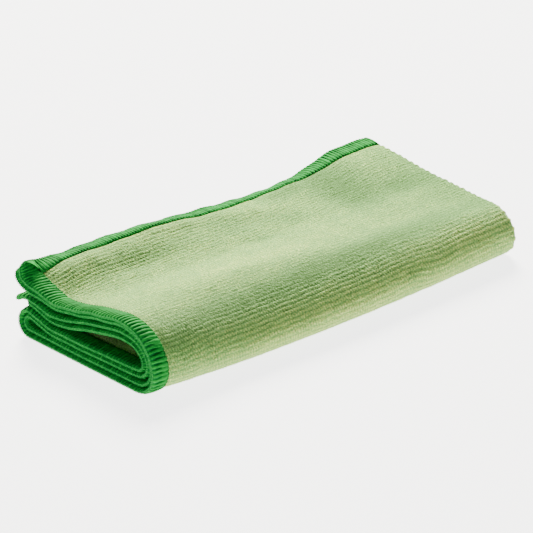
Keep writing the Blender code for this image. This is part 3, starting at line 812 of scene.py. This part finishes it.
def thread_tree():
    """A thread that waves along the strip: up and down, and out and in at its own rate."""
    sizes = ("Step", "Pitch", "Phase", "From edge", "Out wave", "Height", "Up wave", "Radius")
    tree = new_tree("waving thread", (("Count", "Int"), *((size, "Float") for size in sizes),
                                      ("Thread", "Material")))
    given = add(tree, "NodeGroupInput").outputs
    line = points_along(tree, given["Count"], given["Step"])
    where = add(tree, "ShaderNodeSeparateXYZ", {0: add(tree, "GeometryNodeInputPosition").outputs[0]})
    turns = maths(tree, "DIVIDE", where.outputs["X"], given["Pitch"])
    angle = maths(tree, "MULTIPLY_ADD", turns.outputs[0], 2 * pi, given["Phase"])
    rise = maths(tree, "SINE", angle.outputs[0])
    double = maths(tree, "MULTIPLY", angle.outputs[0], 2.0)
    swing = maths(tree, "COSINE", double.outputs[0])
    out = maths(tree, "MULTIPLY_ADD", swing.outputs[0], given["Out wave"], given["From edge"])
    up = maths(tree, "MULTIPLY_ADD", rise.outputs[0], given["Up wave"], given["Height"])
    offset = add(tree, "ShaderNodeCombineXYZ", {"Y": out.outputs[0], "Z": up.outputs[0]})
    placed = add(tree, "GeometryNodeSetPosition",
                 {"Geometry": line.outputs[0], "Offset": offset.outputs[0]})
    curve = add(tree, "GeometryNodeMeshToCurve", {0: placed.outputs[0]})
    profile = add(tree, "GeometryNodeCurvePrimitiveCircle",
                  {"Resolution": THREAD_SIDES, "Radius": given["Radius"]})
    tube = add(tree, "GeometryNodeCurveToMesh",
               {"Curve": curve.outputs[0], "Profile Curve": profile.outputs[0], "Fill Caps": True})
    return ended(tree, tube, given["Thread"])


def lay_round(name, data, tables):
    """Strip coordinates kept as the thread's UV map, and the mesh laid round the hem."""
    strip = np.zeros(len(data.vertices) * 3)
    data.vertices.foreach_get("co", strip)
    strip = strip.reshape(-1, 3)
    loops = np.zeros(len(data.loops), int)
    data.loops.foreach_get("vertex_index", loops)
    layer = data.uv_layers.new(name="strip")
    # the far side of the hem lies beyond the edge on the map
    across = strip[:, 1] * np.where(strip[:, 2] < 0, -1.0, 1.0)
    mapped = np.column_stack((strip[:, 0] / STRIP_MAP, across / STRIP_MAP + STRIP_MAP_EDGE))
    layer.data.foreach_set("uv", mapped[loops].ravel())
    data.vertices.foreach_set("co", lay_hem(strip, tables).ravel())
    data.update()
    data.shade_smooth()
    return place_piece(name, data)


def make_hem(tables, thread, purl_thread, needle_thread):
    length = hem_length(tables)
    count = int(round(length / STITCH_PITCH))
    pitch = length / count
    stitch = stitch_shape()
    sewn = grown("hem_stitches", stitches_tree(),
                 {"Stitch": stitch, "Count": count, "Pitch": pitch, "Turn": radians(2.5), "Size": 0.05,
                  "Seed": 3, "Thread": thread})
    bpy.data.objects.remove(stitch)
    pieces = [lay_round("hem_stitches", sewn, tables)]
    waving = thread_tree()
    steps = count * THREAD_STEPS
    wave = {"Count": steps, "Step": length / steps, "Pitch": pitch, "Thread": purl_thread}
    for name, phase in (("edge_thread_upper", 0.0), ("edge_thread_lower", pi)):
        data = grown(name, waving, {**wave, "Phase": phase, "From edge": -0.42, "Out wave": 0.12,
                                    "Height": 0.0, "Up wave": 0.5, "Radius": 0.13})
        pieces.append(lay_round(name, data, tables))
    # the needle thread's row along the hem's inner border, darkened as painted shade
    data = grown("needle_thread", waving, {**wave, "Thread": needle_thread, "Phase": 0.5,
                                           "From edge": 7.1, "Out wave": 0.0, "Height": 0.92,
                                           "Up wave": 0.22, "Radius": 0.15})
    pieces.append(lay_round("needle_thread", data, tables))
    return pieces


# ---- materials ----

def linear(hex_colour):
    """An sRGB hex colour as linear light."""
    parts = [int(hex_colour[k:k + 2], 16) / 255 for k in (1, 3, 5)]
    return tuple(c / 12.92 if c <= 0.04045 else ((c + 0.055) / 1.055) ** 2.4 for c in parts) + (1.0,)


def new_material(name, values):
    """A material with these values set on its shader's sockets."""
    material = bpy.data.materials.new(name)
    material.use_nodes = True
    shader = material.node_tree.nodes["Principled BSDF"]
    for socket, value in values.items():
        shader.inputs[socket].default_value = value
    return material, material.node_tree, shader


def flat_texture(tree, uv_map, scale, kind, values, **settings):
    """A texture on a piece's own UV map, in millimetres or in threads."""
    where = add(tree, "ShaderNodeUVMap", uv_map=uv_map)
    mapped = add(tree, "ShaderNodeMapping", {"Vector": where.outputs[0], "Scale": scale})
    return add(tree, kind, {"Vector": mapped.outputs[0], **values}, **settings)


def ramp(tree, factor, stops):
    """A colour ramp with stops of (place, hex colour)."""
    node = add(tree, "ShaderNodeValToRGB", {0: factor})
    elements = node.color_ramp.elements
    while len(elements) < len(stops):
        elements.new(0.5)
    for element, (position, colour) in zip(elements, stops):
        element.position = position
        element.color = linear(colour)
    return node


def microfibre_terry():
    """Looped polyester microfibre, dyed pale green: matt, with a soft pale sheen where the split fibres
    stand up, and deeper green down between the ribs and between the loops, partly its own colour and
    partly painted shade. Patches of painted shade and painted light lie over it."""
    material, tree, shader = new_material("microfibre terry, pale green", {
        "Roughness": 0.92, "IOR": 1.5, "Specular IOR Level": 0.15,
        "Sheen Weight": 0.22, "Sheen Roughness": 0.45, "Sheen Tint": linear("#E8EEC0")})
    in_mm = (FLAT_MAP,) * 3
    pile = add(tree, "ShaderNodeAttribute", attribute_name="pile")
    loops = flat_texture(tree, "flat", in_mm, "ShaderNodeTexVoronoi", {"Scale": 1.05, "Randomness": 0.9},
                         feature="F1")
    fibres = flat_texture(tree, "flat", in_mm, "ShaderNodeTexNoise",
                          {"Scale": 2.2, "Detail": 3.0, "Roughness": 0.7})
    patches = flat_texture(tree, "flat", in_mm, "ShaderNodeTexNoise", {"Scale": 0.09, "Detail": 3.0})
    # the loops' tops are palest, and the ground between them is deeper: partly the pale fibre tips, partly
    # painted shade between the loops
    crown = maths(tree, "MULTIPLY_ADD", loops.outputs["Distance"], -0.9, 1.0)
    tufts = add(tree, "ShaderNodeMapRange", {0: fibres.outputs[0], 1: 0.3, 2: 0.7, 3: -0.54, 4: 0.42})
    lit = maths(tree, "MULTIPLY_ADD", crown.outputs[0], 0.38, tufts.outputs[0])
    # the grooves between the ribs are deeper green: partly the ground's own colour, partly painted shade
    raised = maths(tree, "MULTIPLY_ADD", pile.outputs["Fac"], 0.55, lit.outputs[0])
    uneven = maths(tree, "MULTIPLY_ADD", patches.outputs[0], 0.25, raised.outputs[0])
    # painted shade and painted light: the patches take the colour down the ramp, or up where they are
    # negative
    painted_shade = add(tree, "ShaderNodeAttribute", attribute_name="painted_shade")
    with_painted_shade = maths(tree, "MULTIPLY_ADD", painted_shade.outputs["Fac"], -PAINTED_SHADE_DEPTH, uneven.outputs[0])
    colour = ramp(tree, with_painted_shade.outputs[0],
                  ((0.05, "#3F6C2A"), (0.46, "#6C9A52"), (0.8, "#9CB955"), (1.0, "#C6D67C")))
    tree.links.new(colour.outputs[0], shader.inputs["Base Color"])
    height = maths(tree, "MULTIPLY_ADD", fibres.outputs[0], 0.8, crown.outputs[0])
    bump = add(tree, "ShaderNodeBump", {"Strength": 0.7, "Distance": 0.0007, "Height": height.outputs[0]})
    tree.links.new(bump.outputs[0], shader.inputs["Normal"])
    return material


def polyester_thread(name, dark, middle, light, roughness):
    """Fluffy textured polyester overlock thread: many fine crimped filaments lying side by
    side, so it is matt with soft lengthwise streaks."""
    material, tree, shader = new_material(name, {
        "Roughness": roughness, "IOR": 1.55, "Specular IOR Level": 0.03})
    # filaments run across the hem, so the streaks are fine along it and long across it
    streaks = flat_texture(tree, "strip", (STRIP_MAP * 3.5, STRIP_MAP * 0.5, 1.0), "ShaderNodeTexNoise",
                           {"Scale": 1.0, "Detail": 3.0, "Roughness": 0.6})
    tone = add(tree, "ShaderNodeAttribute", attribute_name="tone")
    mixed = maths(tree, "MULTIPLY_ADD", tone.outputs["Fac"], 0.22, streaks.outputs[0])
    colour = ramp(tree, mixed.outputs[0], ((0.3, dark), (0.55, middle), (0.85, light)))
    tree.links.new(colour.outputs[0], shader.inputs["Base Color"])
    bump = add(tree, "ShaderNodeBump", {"Strength": 0.6, "Distance": 0.0002, "Height": streaks.outputs[0]})
    tree.links.new(bump.outputs[0], shader.inputs["Normal"])
    return material


def under_thread():
    """The cloth's edge packed under the overlock thread, seen only in the slits between stitches."""
    material, tree, shader = new_material("thread bed, deep green", {
        "Roughness": 0.95, "Specular IOR Level": 0.1})
    in_mm = (FLAT_MAP,) * 3
    fibres = flat_texture(tree, "flat", in_mm, "ShaderNodeTexNoise", {"Scale": 2.0, "Detail": 2.0})
    colour = ramp(tree, fibres.outputs[0], ((0.3, "#0C5422"), (0.7, "#167030")))
    tree.links.new(colour.outputs[0], shader.inputs["Base Color"])
    return material


# ---- the studio ----

VIEW_TURN = radians(-40.5)
VIEW_RISE = radians(25.3)
VIEW_POINT = (3.22 * MM, 1.18 * MM, 10.0 * MM)
VIEW_AWAY = 9.0  # far off, as the stack hardly narrows with distance in the photo
VIEW_WIDTH = 0.2152  # what the picture is wide at the cloth
VIEW_CLIP = (0.01, 400.0)
FLOOR_HALF = 6.0
FLOOR_Z = -0.3 * MM  # under the thread that shows below the bottom leaf


def make_camera():
    back = Vector((sin(VIEW_TURN) * cos(VIEW_RISE), -cos(VIEW_TURN) * cos(VIEW_RISE), sin(VIEW_RISE)))
    right = Vector((cos(VIEW_TURN), sin(VIEW_TURN), 0.0))
    up = back.cross(right)
    data = bpy.data.cameras.new("camera")
    data.lens = data.sensor_width * VIEW_AWAY / VIEW_WIDTH
    data.clip_start, data.clip_end = VIEW_CLIP
    camera = bpy.data.objects.new("camera", data)
    bpy.context.scene.collection.objects.link(camera)
    turned = Matrix((right, up, back)).transposed().to_4x4()
    camera.matrix_world = Matrix.Translation(Vector(VIEW_POINT) + VIEW_AWAY * back) @ turned
    bpy.context.scene.camera = camera


def make_light(name, place, aim, size, power, colour):
    data = bpy.data.lights.new(name, "AREA")
    data.shape = "DISK"
    data.size = size
    data.energy = power
    data.color = linear(colour)[:3]
    light = bpy.data.objects.new(name, data)
    bpy.context.scene.collection.objects.link(light)
    light.location = place
    light.rotation_euler = (Vector(aim) - Vector(place)).to_track_quat("-Z", "Y").to_euler()


def make_studio():
    material = new_material("pale floor", {
        "Base Color": linear("#8E8E8E"), "Roughness": 0.8,
        "Emission Color": linear("#FFFFFF"), "Emission Strength": 3.8})[0]
    data = bpy.data.meshes.new("floor")
    corners = ((-1, -1), (1, -1), (1, 1), (-1, 1))
    data.from_pydata([(FLOOR_HALF * x, FLOOR_HALF * y, FLOOR_Z) for x, y in corners], [], [(0, 1, 2, 3)])
    data.materials.append(material)
    floor = place_piece("floor", data)
    world = bpy.data.worlds.new("studio")
    world.use_nodes = True
    background = world.node_tree.nodes["Background"]
    background.inputs["Color"].default_value = linear("#FFFFFF")
    background.inputs["Strength"].default_value = 0.1
    bpy.context.scene.world = world
    make_light("beside the near end", (-1.9, -0.2, 0.45), (-0.1, 0.0, 0.01), 0.9, 22.0, "#FFFFFF")
    make_light("behind and above", (0.9, 1.3, 1.25), (0.0, 0.0, 0.0), 1.0, 335.0, "#FFFAF0")


def main():
    tables = fold_tables()
    thread = polyester_thread("overlock thread, green", "#044010", "#0C6A22", "#208A34", 0.75)
    purl_thread = polyester_thread("edge thread, light green", "#126226", "#248238", "#50A258", 0.6)
    # the needle thread's deep green is partly its own colour and partly painted shade along the hem's
    # inner border
    needle_thread = polyester_thread("needle thread, deep green as painted shade", "#002C0C", "#044412", "#105C20", 0.7)
    cloth = make_terry(tables, microfibre_terry(), under_thread())
    hem = make_hem(tables, thread, purl_thread, needle_thread)
    for piece in [cloth] + hem:
        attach(piece, "root")
        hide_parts("cloth")
    make_studio()
    make_camera()


main()
